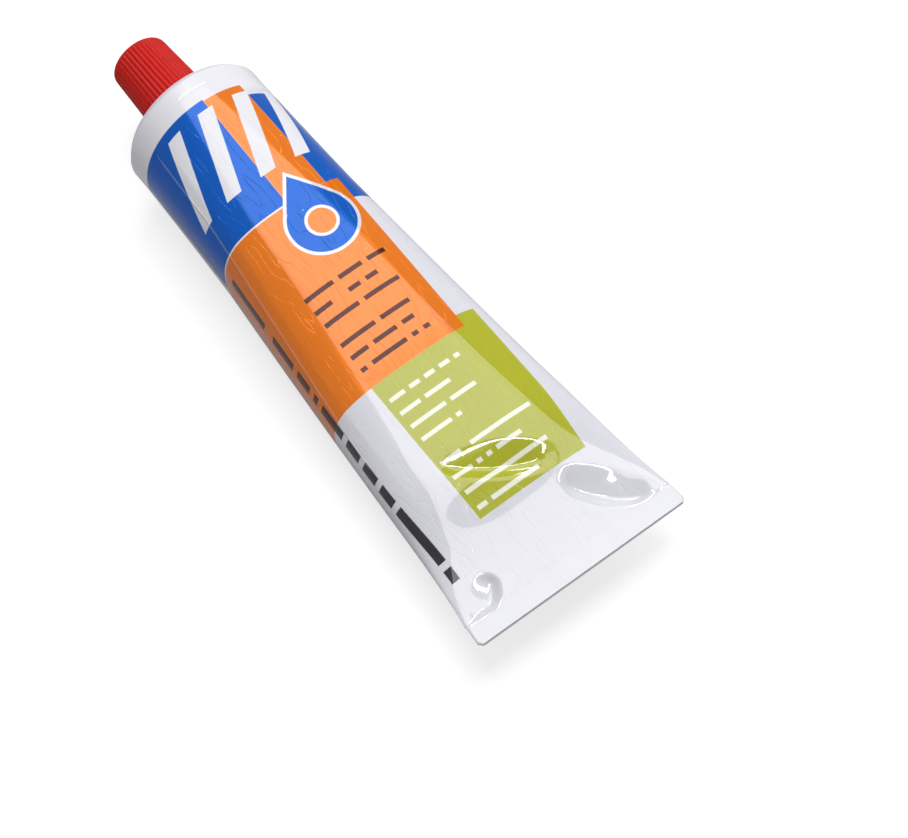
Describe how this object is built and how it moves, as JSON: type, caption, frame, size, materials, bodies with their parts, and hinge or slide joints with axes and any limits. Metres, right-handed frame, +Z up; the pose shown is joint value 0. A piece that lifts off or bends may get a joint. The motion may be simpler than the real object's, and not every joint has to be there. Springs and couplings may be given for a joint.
{
  "type": "caulk tube",
  "caption": "Full squeeze tube of sealant with a round head, a flat welded tail and a ribbed screw cap, lying on its back.",
  "frame": {"origin": "on the floor, under the middle of the whole part's bounding box", "axes": "+X along the tube from the flat weld to the cap, +Y across the weld, +Z up from the floor"},
  "size_m": [0.1688, 0.055, 0.0346],
  "materials": {
    "tube_wall": "glossy printed film",
    "cap": "satin moulded plastic",
    "liner": "matte foam"
  },
  "bodies": {
    "tube_body": {"tube": "tube_wall"},
    "liner_body": {"sealing_disc": "liner"},
    "cap_body": {"cap": "cap"}
  },
  "joints": [
    {"name": "cap_lift", "type": "slide", "parent": "tube_body", "child": "liner_body", "axis": [1, 0, 0], "range_m": [0, 0.0162]},
    {"name": "cap_turn", "type": "hinge", "parent": "liner_body", "child": "cap_body", "pos_m": [0.0818, 0, 0.0171], "axis": [1, 0, 0], "range_deg": [0, 2160]}
  ],
  "couplings": [
    {"joint": "cap_turn", "follows": "cap_lift", "rad_per_m": 2327.1}
  ]
}
